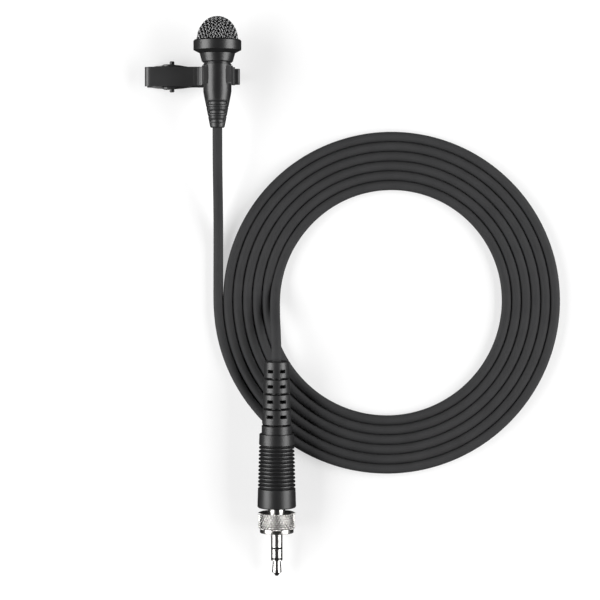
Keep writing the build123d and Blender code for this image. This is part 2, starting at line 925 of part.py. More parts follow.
def tail_points():
    """From the coil's innermost turn up and over it, straight into the plug."""
    radius = coil_outer_radius - coil_pitch / 2 - (coil_turns - 1) * coil_pitch
    centre_x = coil_centre[0] + coil_pitch / 2
    points = []
    for share, height in ((1, cord_radius), (0.75, cord_radius), (0.25, cord_radius + 1.3)):
        angle = pi - radians(tail_lift_angle) * share
        x = centre_x + radius * cos(angle)
        y = coil_centre[1] + radius * sin(angle)
        points.append((x, y, height))
    points += [
        (17.9, -72.6, 6.7),
        plug_rear(-6.2),
        plug_rear(cord_grip),
    ]
    return points


def cord_tube(name, points):
    """A round tube along straight runs joined by tangent arcs, each as large as its runs allow."""
    runs = [Vector(*b) - Vector(*a) for a, b in zip(points, points[1:])]
    radii = []
    for before, after in zip(runs, runs[1:]):
        half_turn = radians(before.get_angle(after)) / 2
        radii.append(0.45 * min(before.length, after.length) / tan(half_turn))
    path = FilletPolyline(*points, radius=radii)
    section = Plane(origin=path @ 0, z_dir=path % 0) * Circle(cord_radius)
    solid = sweep(section, path=path)
    print(name, "radii", [round(r, 1) for r in radii], "runs", [round(r.length, 1) for r in runs])
    expected = pi * cord_radius**2 * path.length
    print(name, "length", round(path.length, 2), "volume / expected", round(solid.volume / expected, 5))
    return solid


def half_coil(centre_x, inner, outer, upper):
    """Half of a flat ring of side-by-side turns, with rounded edges."""
    middle = (inner + outer) / 2
    band = RectangleRounded(outer - inner, cord_diameter, coil_edge_round)
    ring = revolve(Plane.XZ * Pos(middle, cord_radius) * band, Axis.Z, 180)
    if not upper:
        ring = Rot(0, 0, 180) * ring
    return Pos(centre_x, coil_centre[1], 0) * ring


def cord_coil():
    """The outer shape of the coil: two flat half rings about centres half a pitch apart."""
    outer = coil_outer_radius + cord_radius
    inner = coil_outer_radius - (coil_turns - 1) * coil_pitch - cord_radius
    shift = coil_pitch / 2
    lower = half_coil(coil_centre[0], inner, outer, False)
    upper = half_coil(coil_centre[0] + shift, inner - shift, outer - shift, True)
    gap_radius = inner - shift + cord_radius + coil_pitch / 2
    lifted = Rectangle(gap_radius, cord_diameter * 3, align=(Align.MIN, Align.CENTER))
    sector = revolve(Plane.XZ * lifted, Axis.Z, tail_lift_angle)
    sector = Rot(0, 0, 180 - tail_lift_angle) * sector
    return lower + (upper - Pos(coil_centre[0] + shift, coil_centre[1], 0) * sector)


def coil_length():
    total = 0
    for half_turn in range(2 * coil_turns):
        total += pi * (coil_outer_radius - half_turn * coil_pitch / 2)
    innermost = coil_outer_radius - (2 * coil_turns - 1) * coil_pitch / 2
    return total - innermost * radians(tail_lift_angle)


# Assembly -----------------------------------------------------------------------------------


def laid_parts():
    """Every node in the laid frame: microphone axis over X 0, clip's middle plane at Y 0."""
    diaphragm, backplate, spacer, board = capsule_inside()
    lifted = {
        "mic_housing": mic_housing(),
        "neck_ring": neck_ring(),
        "capsule_sleeve": capsule_sleeve(),
        "capsule_can": capsule_can(),
        "capsule_diaphragm": diaphragm,
        "capsule_backplate": backplate,
        "capsule_spacer": spacer,
        "capsule_board": board,
        "inlet_screen": inlet_screen(),
        "amplifier_board": amplifier_board(),
        "mic_strain_relief": mic_strain_relief(),
        "mic_crimp": mic_crimp(),
        "mic_core_wires": mic_core_wires(),
        "grille_ring": grille_ring(),
        "grille_mesh": grille_mesh(),
        "windscreen_foam": windscreen_foam(),
        "clip_upper_lever": clip_upper_lever(),
        "clip_lower_lever": clip_lower_lever(),
        "pivot_pin": pivot_pin(),
        "torsion_spring": torsion_spring(),
        "mic_clasp": mic_clasp(),
        "clasp_rivet": clasp_rivet(),
    }
    sleeve, sleeve_insulator, ring, ring_insulator, tip = jack_pieces()
    plugged = {
        "jack_sleeve": sleeve,
        "jack_sleeve_insulator": sleeve_insulator,
        "jack_ring": ring,
        "jack_ring_insulator": ring_insulator,
        "jack_tip": tip,
        "plug_neck": plug_neck(),
        "nut_stop_ring": nut_stop_ring(),
        "nut_washer": nut_washer(),
        "coupling_nut": coupling_nut(),
        "plug_barrel": plug_barrel(),
        "plug_terminal_block": terminal_block(),
        "plug_end_cap": end_cap(),
        "plug_strain_relief": plug_strain_relief(),
        "plug_crimp": plug_clamp(),
        "plug_core_wires": plug_core_wires(),
    }
    laid = {
        "cord_lead": cord_tube("cord_lead", lead_points()),
        "cord_coil": cord_coil(),
        "cord_tail": cord_tube("cord_tail", tail_points()),
    }
    for name, part in lifted.items():
        laid[name] = Pos(0, 0, axis_height) * part
    for name, part in plugged.items():
        laid[name] = plug_place() * part
    return laid


os.makedirs("parts", exist_ok=True)
for node, part in laid_parts().items():
    export_step(Pos(row_x, row_y, 0) * part, f"parts/{node}.step")
print("coil length", round(coil_length(), 1))
print("microphone axis at", round(row_x, 3), round(axis_height, 3), "clip plane at", round(row_y, 3))
print("pivot at", round(row_x - pivot_reach, 3), round(axis_height + pivot_z, 3))
mouth = Pos(row_x, row_y, 0) * plug_place()
print("nut mouth at", [round(c, 3) for c in (mouth.position.X, mouth.position.Y, mouth.position.Z)])
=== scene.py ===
import json
import random
from math import asin, atan2, ceil, cos, hypot, pi, radians, sin, tan

import bmesh
import bpy
from mathutils import Matrix, Vector
from mathutils import noise as cell_noise


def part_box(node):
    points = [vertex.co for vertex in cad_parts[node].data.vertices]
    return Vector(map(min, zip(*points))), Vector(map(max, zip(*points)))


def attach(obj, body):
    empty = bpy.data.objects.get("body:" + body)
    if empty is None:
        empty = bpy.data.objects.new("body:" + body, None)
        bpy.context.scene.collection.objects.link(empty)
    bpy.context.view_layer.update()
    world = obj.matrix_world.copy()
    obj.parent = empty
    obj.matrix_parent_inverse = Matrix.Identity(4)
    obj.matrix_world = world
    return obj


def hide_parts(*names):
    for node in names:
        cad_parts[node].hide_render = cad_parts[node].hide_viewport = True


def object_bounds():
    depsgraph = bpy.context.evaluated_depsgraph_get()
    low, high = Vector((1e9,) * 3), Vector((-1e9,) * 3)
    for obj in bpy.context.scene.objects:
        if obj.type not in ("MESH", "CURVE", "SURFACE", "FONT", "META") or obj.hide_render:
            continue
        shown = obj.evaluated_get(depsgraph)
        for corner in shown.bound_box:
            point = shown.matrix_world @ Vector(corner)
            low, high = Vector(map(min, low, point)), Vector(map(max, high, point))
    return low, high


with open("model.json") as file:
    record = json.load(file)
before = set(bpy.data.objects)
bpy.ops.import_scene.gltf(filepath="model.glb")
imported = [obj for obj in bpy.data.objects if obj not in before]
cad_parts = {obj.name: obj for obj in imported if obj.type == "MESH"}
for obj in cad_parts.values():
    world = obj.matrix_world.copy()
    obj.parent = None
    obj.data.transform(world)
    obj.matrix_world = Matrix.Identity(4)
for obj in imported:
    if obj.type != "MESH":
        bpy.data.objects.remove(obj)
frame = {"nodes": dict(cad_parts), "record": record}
cad_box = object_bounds()

# Camera: straight above the microphone laid out with its cord, far enough back that
# the perspective is slight. The lens frames 183 mm of the table.
MM = 0.001
CAMERA_HEIGHT, FRAMED_WIDTH = 0.9, 0.183
CAMERA_OFFSET = (-16.0 * MM, -1.1 * MM)  # from over the object's middle
SENSOR_WIDTH = 36
middle = (cad_box[0] + cad_box[1]) / 2
camera = bpy.data.objects.new("camera", bpy.data.cameras.new("camera"))
camera.location = (middle.x + CAMERA_OFFSET[0], middle.y + CAMERA_OFFSET[1], CAMERA_HEIGHT)
camera.data.sensor_width = SENSOR_WIDTH
camera.data.lens = SENSOR_WIDTH * CAMERA_HEIGHT / FRAMED_WIDTH
camera.data.clip_start = 0.05
bpy.context.scene.collection.objects.link(camera)
bpy.context.scene.camera = camera
bpy.context.scene.view_settings.view_transform = "Standard"


# Cord: one length of round, limp jacketed cable. It leaves the microphone's strain relief,
# lies down on the table, makes six turns side by side from the outside in, and rises over
# them into the plug's strain relief.
class Shade:
    """One output socket in a material. Arithmetic on it adds Math nodes."""

    def __init__(self, tree, socket=None):
        self.tree = tree
        self.socket = socket

    def node(self, kind, settings=None, inputs=None, output=0):
        """Any other node: its type, its settings, its sockets' values or links, and which output."""
        made = self.tree.nodes.new("ShaderNode" + kind)
        for name, value in (settings or {}).items():
            setattr(made, name, value)
        for key, value in (inputs or {}).items():
            if isinstance(value, Shade):
                self.tree.links.new(value.socket, made.inputs[key])
            else:
                made.inputs[key].default_value = value
        return Shade(self.tree, made.outputs[output])

    def maths(self, operation, *values):
        return self.node("Math", {"operation": operation}, dict(enumerate(values)))

    def __add__(self, other):
        return self.maths("ADD", self, other)

    def __mul__(self, other):
        return self.maths("MULTIPLY", self, other)

    def __sub__(self, other):
        return self.maths("SUBTRACT", self, other)

    def __rsub__(self, other):
        return self.maths("SUBTRACT", other, self)

    __radd__ = __add__
    __rmul__ = __mul__

    def between(self, low, high):
        """A colour from low to high as this value goes from 0 to 1."""
        return self.node("Mix", {"data_type": "RGBA"}, {0: self, 6: (*low, 1), 7: (*high, 1)}, 2)


def noise(place, scale, detail=2.0):
    return place.node("TexNoise", {}, {"Vector": place, "Scale": scale, "Detail": detail})


def along_y(place, stretch):
    """The place, so drawn out that a pattern on it becomes rings across the Y axis."""
    return place.node("Mapping", {}, {"Vector": place, "Scale": (1 / stretch, 1, 1 / stretch)})


CLOUD_SIZE = 5 * MM  # of the slow drift in colour and roughness
GLOSS_DRIFT = 0.1
RING_PITCH, RING_STRETCH = 0.12 * MM, 200


def finish(name, colour, gloss, grain, depth, drift=0.2, rings=0.0, **fixed):
    """A material: colour and roughness that drift a little, over a fine grain and, on
    turned parts, the tool's rings. Grain is the size of its bumps and depth their height."""
    material = bpy.data.materials.new(name)
    material.use_nodes = True
    shader = material.node_tree.nodes["Principled BSDF"]
    for socket, value in fixed.items():
        shader.inputs[socket.replace("_", " ")].default_value = value
    place = Shade(material.node_tree).node("TexCoord", output=3)
    cloud = noise(place, 1 / CLOUD_SIZE, 3.0)
    bumps = noise(place, 1 / grain, 3.0)
    if rings:
        bumps = bumps + noise(along_y(place, RING_STRETCH), 1 / RING_PITCH, 2.0) * rings
    dark, pale = ([channel * share for channel in colour] for share in (1 - drift, 1 + drift))
    links = {
        "Base Color": cloud.between(dark, pale),
        "Roughness": cloud * GLOSS_DRIFT + (gloss - GLOSS_DRIFT / 2),
        "Normal": bumps.node("Bump", {}, {"Height": bumps, "Distance": depth}),
    }
    for socket, pattern in links.items():
        material.node_tree.links.new(pattern.socket, shader.inputs[socket])
    return material


JACKET_RADIUS = 1.483 * MM  # so that the turns just touch
COIL_RADIUS, COIL_TURNS, COIL_PITCH = 51.3, 6, 2.96
# The route's points are in mm, x and y from the microphone's axis and z from the table.
LEAD = [
    (0, -13.46, 10.6), (0, -22.9, 10.6), (0.03, -32.2, 7.7),
    (0.08, -41.4, 4.0), (0.04, -50.4, 1.45), (0, -59.4, 1.45),
]
TAIL = [
    (19.9, -54.5, 1.48), (17.45, -63.4, 1.6), (17.3, -72.0, 4.9),
    (17.8, -80.4, 10.3), (17.85, -88.64, 9.81),
]
COIL_CENTRE, COIL_HEIGHT = (51.3, -67.9), 1.48
STEPS = 12  # control points in a half turn
LAST_STEPS = 10  # of the innermost half turn, before the cord starts to rise
jacket = finish(
    "cable_jacket", (0.034, 0.034, 0.035), 0.75, 0.12 * MM, 0.003 * MM, Specular_IOR_Level=0.15
)

housing_low, housing_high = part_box("mic_housing")
lever_low, lever_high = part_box("clip_upper_lever")
mic_axis = Vector((
    (housing_low.x + housing_high.x) / 2,
    (lever_low.y + lever_high.y) / 2,
    (housing_low.z + housing_high.z) / 2,
))
route = [Vector(point) for point in LEAD]
for half in range(2 * COIL_TURNS):
    upper = half % 2
    radius = (COIL_RADIUS - half * COIL_PITCH / 2) / cos(pi / STEPS / 2)
    centre = Vector((COIL_CENTRE[0] + upper * COIL_PITCH / 2, COIL_CENTRE[1], COIL_HEIGHT))
    for i in range(LAST_STEPS if half == 2 * COIL_TURNS - 1 else STEPS):
        angle = pi * (1 - upper) + (i + 0.5) * pi / STEPS
        route.append(centre + radius * Vector((cos(angle), sin(angle), 0)))
route += [Vector(point) for point in TAIL]

line = bpy.data.curves.new("cord", "CURVE")
line.dimensions = "3D"
line.bevel_depth = JACKET_RADIUS
line.bevel_resolution = 7
line.resolution_u = 8
spline = line.splines.new("NURBS")
spline.points.add(len(route) - 1)
for point, place in zip(spline.points, route):
    point.co = (place.x * MM + mic_axis.x, place.y * MM + mic_axis.y, place.z * MM, 1)
spline.order_u = 3
spline.use_endpoint_u = True
line.materials.append(jacket)
cord = bpy.data.objects.new("cord", line)
bpy.context.scene.collection.objects.link(cord)
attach(cord, "mic")
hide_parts("cord_lead", "cord_coil", "cord_tail")

# Studio: a plain white table, and a large softbox on each side of it, so that every round
# part gets two bright bands with a dark middle between them. Part of the table's paleness is
# its own glow, and it is kept out of reflections.
TABLE_SIZE, TABLE_GAP, TABLE_GLOW = 8.0, 0.02 * MM, 0.55
BOX_DISTANCE, BOX_FROM_ZENITH, BOX_LENGTH, BOX_HEIGHT, BOX_WATTS = 0.8, 62, 1.0, 0.58, 11.5
ROOM_LIGHT, ROOM_LIGHT_LOSS = 0.35, 0.27  # at the horizon, and how much less overhead
table_top = finish("table_top", (0.42, 0.42, 0.42), 0.9, 1 * MM, 0.001 * MM, drift=0.01)
glow = table_top.node_tree.nodes["Principled BSDF"].inputs
glow["Emission Color"].default_value = (1, 1, 1, 1)
glow["Emission Strength"].default_value = TABLE_GLOW
sheet = bmesh.new()
bmesh.ops.create_grid(sheet, x_segments=1, y_segments=1, size=TABLE_SIZE / 2)
floor = bpy.data.objects.new("floor", bpy.data.meshes.new("floor"))
sheet.to_mesh(floor.data)
sheet.free()
floor.location = (middle.x, middle.y, -TABLE_GAP)
floor.data.materials.append(table_top)
floor.visible_glossy = False
bpy.context.scene.collection.objects.link(floor)


def softbox(name, azimuth):
    """A rectangular light that faces the table's middle."""
    lamp = bpy.data.lights.new(name, "AREA")
    lamp.shape = "RECTANGLE"
    lamp.size, lamp.size_y, lamp.energy = BOX_LENGTH, BOX_HEIGHT, BOX_WATTS
    tilt, turn = radians(BOX_FROM_ZENITH), radians(azimuth)
    away = Vector((sin(tilt) * cos(turn), sin(tilt) * sin(turn), cos(tilt)))
    placed = bpy.data.objects.new(name, lamp)
    placed.location = Vector((middle.x, middle.y, 0)) + BOX_DISTANCE * away
    placed.rotation_euler = away.to_track_quat("Z", "Y").to_euler()
    bpy.context.scene.collection.objects.link(placed)


softbox("softbox_left", 180)
softbox("softbox_right", 0)
room = bpy.data.worlds.new("room")
room.use_nodes = True
skylight = Shade(room.node_tree)
height = skylight.node("SeparateXYZ", {}, {0: skylight.node("TexCoord")}, 2)
walls = room.node_tree.nodes["Background"].inputs
strength = ROOM_LIGHT - height.maths("MAXIMUM", height, 0.0) * ROOM_LIGHT_LOSS
room.node_tree.links.new(strength.socket, walls["Strength"])
bpy.context.scene.world = room

# Housing, neck band and the windscreen's ring: brass turnings under a satin black finish
# that still shows the tool's fine rings.
satin = finish(
    "satin_black", (0.012, 0.012, 0.0125), 0.36, 0.08 * MM, 0.002 * MM, rings=0.7, Specular_IOR_Level=0.6
)


def paint(material, *nodes):
    """Gives CAD nodes that stay as they are their finish."""
    for name in nodes:
        skins = frame["nodes"][name].data.materials
        skins.clear()
        skins.append(material)


paint(satin, "mic_housing", "neck_ring", "grille_ring")

# Inside the head: the capsule in its rubber sleeve, with a fine screen over the mouth. They
# show when the windscreen is pulled off. The amplifier board sits behind them.
rubber = finish(
    "moulded_rubber", (0.014, 0.014, 0.0145), 0.42, 0.1 * MM, 0.003 * MM, Specular_IOR_Level=0.6
)
paint(rubber, "capsule_sleeve")
aluminium = finish("drawn_aluminium", (0.7, 0.7, 0.72), 0.3, 0.1 * MM, 0.002 * MM, rings=0.5, Metallic=1.0)
paint(aluminium, "capsule_can", "capsule_diaphragm")
brass = finish("plain_brass", (0.75, 0.55, 0.25), 0.3, 0.1 * MM, 0.002 * MM, Metallic=1.0)
paint(brass, "capsule_backplate", "mic_crimp", "plug_crimp")
moulded = finish(
    "moulded_insulator", (0.005, 0.005, 0.005), 0.5, 0.1 * MM, 0.002 * MM, Specular_IOR_Level=0.2
)
paint(moulded, "capsule_spacer", "plug_terminal_block", "nut_washer")
paint(moulded, "jack_sleeve_insulator", "jack_ring_insulator")
solder_mask = finish("solder_mask", (0.02, 0.16, 0.06), 0.3, 0.2 * MM, 0.004 * MM)
paint(solder_mask, "capsule_board", "amplifier_board")
fine_screen = finish(
    "woven_steel_screen", (0.25, 0.25, 0.26), 0.35, 0.06 * MM, 0.03 * MM, drift=0.5, Metallic=1.0
)
paint(fine_screen, "inlet_screen")
core_wire = finish("insulated_wire", (0.4, 0.03, 0.02), 0.4, 0.1 * MM, 0.002 * MM)
paint(core_wire, "mic_core_wires", "plug_core_wires")

# Microphone strain relief: a moulded rubber cone that carries on from the housing. It has
# three shallow pockets in its front and three in its back, with a fine groove between each two.
BOOT_FRONT, BOOT_REAR, BOOT_TIP = -7.4, -15.86, -15.51
BOOT_RADII = (3.8, 2.15)
POCKETS, POCKET_LENGTH, POCKET_FLOOR = (0.6, 3.28, 5.93), 1.1, 0.86
POCKET_HALF_ANGLE, POCKET_END = radians(58), radians(7)
POCKET_EDGE = [(0.08, 0), (0, 0.15), (-0.2, 0.95), (-0.3, 1)]  # distance outward, share of depth
GROOVE_SETBACK, GROOVE_DEPTH = 1.17, 0.16
GROOVE_PROFILE = [(0.17, 0), (0.04, 1), (-0.04, 1), (-0.17, 0)]
CRIMP_SEAT, SPIGOT_END = -8.4, -5.2
ROUND_STEPS = 5
CRIMP_RADIUS, CORD_BORE, SPIGOT_RADIUS = 1.9, 1.45, 3.0
mic_place = Matrix.Translation(mic_axis)


def piece(name, points, faces, material, body, slot_name, *nodes, sharp=40):
    """A mesh from points in metres, shown in a finish, riding on a body, in place of CAD nodes."""
    mesh = bpy.data.meshes.new(name)
    mesh.from_pydata(points, [], faces)
    shell = bmesh.new()
    shell.from_mesh(mesh)
    bmesh.ops.remove_doubles(shell, verts=shell.verts, dist=0.0005 * MM)
    bmesh.ops.recalc_face_normals(shell, faces=shell.faces)
    shell.to_mesh(mesh)
    shell.free()
    mesh.polygons.foreach_set("use_smooth", [True] * len(mesh.polygons))
    mesh.set_sharp_from_angle(angle=radians(sharp))
    mesh.materials.append(material)
    made = bpy.data.objects.new(name, mesh)
    bpy.context.scene.collection.objects.link(made)
    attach(made, body)
    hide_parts(*nodes)
    return made


def lathe(place, rings, angles):
    """Points and faces of a closed skin about the Y axis. A ring is (y, radius), and its radius
    a number or a rule that gives it for an angle. The last ring joins the first."""
    points = []
    for y, reach in rings:
        for angle in angles:
            r = reach(angle) if callable(reach) else reach
            points.append(place @ (Vector((r * cos(angle), y, r * sin(angle))) * MM))
    faces = []
    count = len(angles)
    for i in range(len(rings)):
        near, far = i * count, (i + 1) % len(rings) * count
        for j in range(count):
            k = (j + 1) % count
            faces.append((near + j, near + k, far + k, far + j))
    return points, faces


def around(count):
    return [2 * pi * i / count for i in range(count)]


def smooth(value, low, high):
    """0 below low, 1 above high, and an eased step between."""
    share = min(max((value - low) / (high - low), 0), 1)
    return share * share * (3 - 2 * share)


def cone(y):
    share = (BOOT_FRONT - y) / (BOOT_FRONT - BOOT_REAR)
    return BOOT_RADII[0] + (BOOT_RADII[1] - BOOT_RADII[0]) * share


def pocket(y, share):
    """The rule of a ring that is sunk by a share of the pocket's depth, front and back only."""
    full = cone(y)

    def reach(angle):
        off_face = abs(abs(atan2(sin(angle), cos(angle))) - pi / 2)
        inside = 1 - smooth(off_face, POCKET_HALF_ANGLE - POCKET_END, POCKET_HALF_ANGLE)
        return full * (1 - (1 - POCKET_FLOOR) * share * inside)

    return reach


rings = [(BOOT_FRONT, cone(BOOT_FRONT))]
for start in POCKETS:
    high, low = BOOT_FRONT - start, BOOT_FRONT - start - POCKET_LENGTH
    rings += [(high + y, pocket(high + y, share)) for y, share in POCKET_EDGE]
    rings += [(low - y, pocket(low - y, share)) for y, share in reversed(POCKET_EDGE)]
    line_y = (high + low) / 2 - GROOVE_SETBACK
    if start != POCKETS[-1]:
        for y, share in GROOVE_PROFILE:
            rings.append((line_y + y, cone(line_y + y) - GROOVE_DEPTH * share))
tip_round = BOOT_TIP - BOOT_REAR
for i in range(ROUND_STEPS + 1):
    turn = pi / 2 * i / ROUND_STEPS
    rings.append((BOOT_TIP - tip_round * sin(turn), cone(BOOT_TIP) - tip_round * (1 - cos(turn))))
rings += [(BOOT_REAR, CORD_BORE), (CRIMP_SEAT, CORD_BORE), (CRIMP_SEAT, CRIMP_RADIUS)]
rings += [(SPIGOT_END, CRIMP_RADIUS), (SPIGOT_END, SPIGOT_RADIUS), (BOOT_FRONT, SPIGOT_RADIUS)]
piece("mic_boot", *lathe(mic_place, rings, around(144)), rubber, "mic", "rubber_black", "mic_strain_relief")

# Windscreen: a dome pressed from plain-woven wire and coated black, held in the ring, with
# an open-cell foam liner under it. The ring pulls off the head with both.
mesh_low, mesh_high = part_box("grille_mesh")
ring_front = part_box("grille_ring")[1].y
DOME_RADIUS = (mesh_high.x - mesh_low.x) / 2 / MM
CROWN_DROP = 0.2  # the wire's crown is this much lower than the solid dome it stands for
DOME_HEIGHT = (mesh_high.y - ring_front) / MM - CROWN_DROP
DOME_BASE = (ring_front - mic_axis.y) / MM
DOME_SKIRT = 0.85
CROWN_SHARE = 0.89
WIRE, WIRE_PITCH, WIRE_SWING = 0.3, 0.88, 0.15
ROW_DRIFT, ROW_LEAN = 0.07, 0.006  # how uneven the rows of wire are
STEPS_PER_CELL = 6


def dome_outline(radius, height):
    """A rule that gives (radius, y, slope from the axis) at a distance from the dome's top."""
    crown = radius * CROWN_SHARE
    crown_centre = height - crown
    side = (radius**2 + crown_centre**2 - crown**2) / (2 * (radius - crown))
    meet = atan2(crown_centre, side - radius)
    crown_length = crown * (pi / 2 - meet)

    def at(distance):
        if distance < crown_length:
            slope = distance / crown
            return crown * sin(slope), crown_centre + crown * cos(slope), slope
        past = (distance - crown_length) / side
        if past < meet:
            slope = pi / 2 - meet + past
            return radius - side + side * sin(slope), side * cos(slope), slope
        return radius, -(past - meet) * side, pi / 2

    return at, crown_length + side * meet


def tube_skin(points, faces, path, normals, radius, sides=6):
    """Adds a closed wire along a path to points and faces, framed by the given normals."""
    start = len(points)
    for i, (place, normal) in enumerate(zip(path, normals)):
        ahead = (path[min(i + 1, len(path) - 1)] - path[max(i - 1, 0)]).normalized()
        across = ahead.cross(normal).normalized()
        up = across.cross(ahead)
        for j in range(sides):
            turn = 2 * pi * j / sides
            points.append(place + radius * (cos(turn) * across + sin(turn) * up))
    for i in range(len(path) - 1):
        for j in range(sides):
            k = (j + 1) % sides
            near, far = start + i * sides, start + (i + 1) * sides
            faces.append((near + j, near + k, far + k, far + j))
    faces.append(tuple(start + j for j in range(sides)))
    faces.append(tuple(start + (len(path) - 1) * sides + j for j in reversed(range(sides))))


wires = random.Random(7)
outline, dome_length = dome_outline(DOME_RADIUS - WIRE / 2 - WIRE_SWING, DOME_HEIGHT - WIRE / 2 - WIRE_SWING)
sheet_radius = 2 * DOME_RADIUS * sin((dome_length + DOME_SKIRT) / (2 * DOME_RADIUS))
reach = ceil(sheet_radius / WIRE_PITCH)
points, faces = [], []
for family in range(2):
    for row in range(-reach, reach + 1):
        drift = wires.uniform(-ROW_DRIFT, ROW_DRIFT)
        lean = wires.uniform(-ROW_LEAN, ROW_LEAN)
        path, normals = [], []
        for i in range(-reach * STEPS_PER_CELL, reach * STEPS_PER_CELL + 1):
            cells = i / STEPS_PER_CELL
            run, offset = cells * WIRE_PITCH, row * WIRE_PITCH + drift + lean * cells
            a, b = (run, offset) if family else (offset, run)
            flat = hypot(a, b)
            if flat > sheet_radius:
                continue
            bearing = atan2(b, a) + pi / 4
            radius, y, slope = outline(2 * DOME_RADIUS * asin(flat / (2 * DOME_RADIUS)))
            outward = Vector((sin(slope) * cos(bearing), cos(slope), sin(slope) * sin(bearing)))
            over = WIRE_SWING * cos(pi * (cells + row + family))
            on_dome = Vector((radius * cos(bearing), y + DOME_BASE, radius * sin(bearing)))
            path.append(mic_place @ ((on_dome + over * outward) * MM))
            normals.append(outward)
        if len(path) > STEPS_PER_CELL:
            tube_skin(points, faces, path, normals, WIRE / 2 * MM)
coated_wire = finish("coated_wire", (0.26, 0.26, 0.262), 0.3, 0.05 * MM, 0.002 * MM, Metallic=1.0)
piece("windscreen_weave", points, faces, coated_wire, "windscreen", "mesh_black", "grille_mesh", sharp=80)

FOAM_RADIUS, FOAM_BORE, FOAM_WALL_END, FOAM_CEILING = 5.6, 4.72, -1.6, 0.42
FOAM_CROWN_GAP = 0.75  # below the wire's outside
FOAM_ROUGHNESS, CELL_SCALE = 0.09, 2.6
FOAM_EDGE, FOAM_RINGS = 0.15, 44
open_cells = finish(
    "open_cell_foam", (0.003, 0.003, 0.003), 0.95, 0.25 * MM, 0.1 * MM, drift=0.6, Specular_IOR_Level=0.1
)
foam_outline, foam_length = dome_outline(FOAM_RADIUS, DOME_HEIGHT - FOAM_CROWN_GAP)


def foam_skin(y, radius):
    """A ring's rule that makes the cut cells stand in and out a little."""

    def reach(angle):
        place = Vector((radius * cos(angle), y, radius * sin(angle))) * CELL_SCALE
        return radius + FOAM_ROUGHNESS * (cell_noise.noise(place) - 0.5)

    return reach


rings = [(DOME_BASE + FOAM_WALL_END, FOAM_BORE), (DOME_BASE + FOAM_WALL_END, FOAM_RADIUS - FOAM_EDGE)]
rings.append((DOME_BASE + FOAM_WALL_END + FOAM_EDGE, FOAM_RADIUS))
for i in range(FOAM_RINGS, 0, -1):
    radius, y, _ = foam_outline(foam_length * i / FOAM_RINGS)
    rings.append((DOME_BASE + y, foam_skin(y, radius)))
rings.append((DOME_BASE + DOME_HEIGHT - FOAM_CROWN_GAP, 0))
rings += [(DOME_BASE + FOAM_CEILING, 0), (DOME_BASE + FOAM_CEILING, FOAM_BORE)]
points, faces = lathe(mic_place, rings, around(144))
foam = piece(
    "windscreen_foam_liner", points, faces, open_cells, "windscreen", "foam_black", "windscreen_foam"
)

# Tie clip: two levers stamped from spring steel and blackened, hinged on a pin through their
# ears. A torsion spring round the pin closes the toothed lips. All sizes are from the
# microphone's axis, x towards the lips and z up.
SHEET = 0.6
PLATE_MIDDLE, TAIL_END, LIP_END = -5.55, -21.95, 6.33
PIVOT_X, PIVOT_Z = -14.0, -7.45
FLOOR_MIDDLE = -9.75
TEETH, TOOTH_PITCH, TOOTH_DEPTH = 9, 0.55, 0.22
LIP_TOP = -7.57
UPPER_PATH = [(TAIL_END, -7.45), (TAIL_END, PLATE_MIDDLE), (LIP_END, PLATE_MIDDLE), (LIP_END, -7.45)]
LOWER_PATH = [
    (-21.65, -10.3), (-17.3, FLOOR_MIDDLE), (-10.7, FLOOR_MIDDLE), (-3.6, -10.2),
    (3.23, -9.6), (LIP_END, -8.67), (LIP_END, LIP_TOP),
]
UPPER_BENDS, LOWER_BENDS = (1.46, 0.35), (2.5, 2.5, 2.5, 2.5, 0.6)
LEVER_OUTLINE = [(-22.3, 2.92), (1.75, 2.92), (2.95, 2.3), (6.7, 2.3)]
FLANGE_OUTLINE = [
    (-22.3, 3.02), (-20.6, 3.05), (-18.8, 3.36), (-16.9, 3.45), (-16.35, 3.78),
    (-15.1, 3.74), (-14.7, 3.7), (-13.3, 3.6), (-11.4, 3.45), (-10.2, 3.3),
    (-9, 3.15), (-7.6, 3.05), (1.75, 3.05), (2.95, 2.3), (6.7, 2.3),
]
FLANGE_START, FLANGE_END, FLANGE_TOP = -20.4, -7.9, -6.15
FLANGE_STEPS, FLANGE_ROWS, RISE_POWER = 52, 6, 0.55
HUMP_HEIGHT, HUMP_FLAT, HUMP_REACH = 1.15, 1.0, 4.6  # over the pin
END_SHARE, RUN_SHARE = 0.95, 0.48  # of a run that a bend may take up
EDGE_EASE, EDGE_ANGLE = 0.11 * MM, radians(50)
EAR_STEPS, FOOT_STEPS = 48, 40
blackened = finish(
    "blackened_steel", (0.024, 0.024, 0.0245), 0.42, 0.1 * MM, 0.002 * MM, drift=0.12, Specular_IOR_Level=0.65
)


def outline_at(outline, x):
    """A value read off a list of (x, value)."""
    for (x0, low), (x1, high) in zip(outline, outline[1:]):
        if x <= x1:
            return low + (high - low) * max(x - x0, 0) / (x1 - x0)
    return outline[-1][1]


def rounded(corners, radii, spacing=0.5, arc_steps=6):
    """A path through 2-D corners, with an arc of its own radius at each and points along its runs."""
    path = [Vector(corners[0])]
    for before, corner, after, radius in zip(corners, corners[1:], corners[2:], radii):
        corner = Vector(corner)
        back, ahead = (Vector(before) - corner), (Vector(after) - corner)
        opening = back.angle(ahead)
        free = END_SHARE if before == corners[0] else RUN_SHARE
        room = min(back.length * free, ahead.length * RUN_SHARE)
        reach = min(radius / tan(opening / 2), room)
        first, last = corner + back.normalized() * reach, corner + ahead.normalized() * reach
        for i in range(arc_steps + 1):
            t = i / arc_steps
            path.append((1 - t) ** 2 * first + 2 * t * (1 - t) * corner + t * t * last)
    path.append(Vector(corners[-1]))
    filled = [path[0]]
    for place in path[1:]:
        run = place - filled[-1]
        parts = max(1, int(run.length / spacing))
        start = filled[-1]
        for i in range(1, parts + 1):
            filled.append(start + run * i / parts)
    return filled


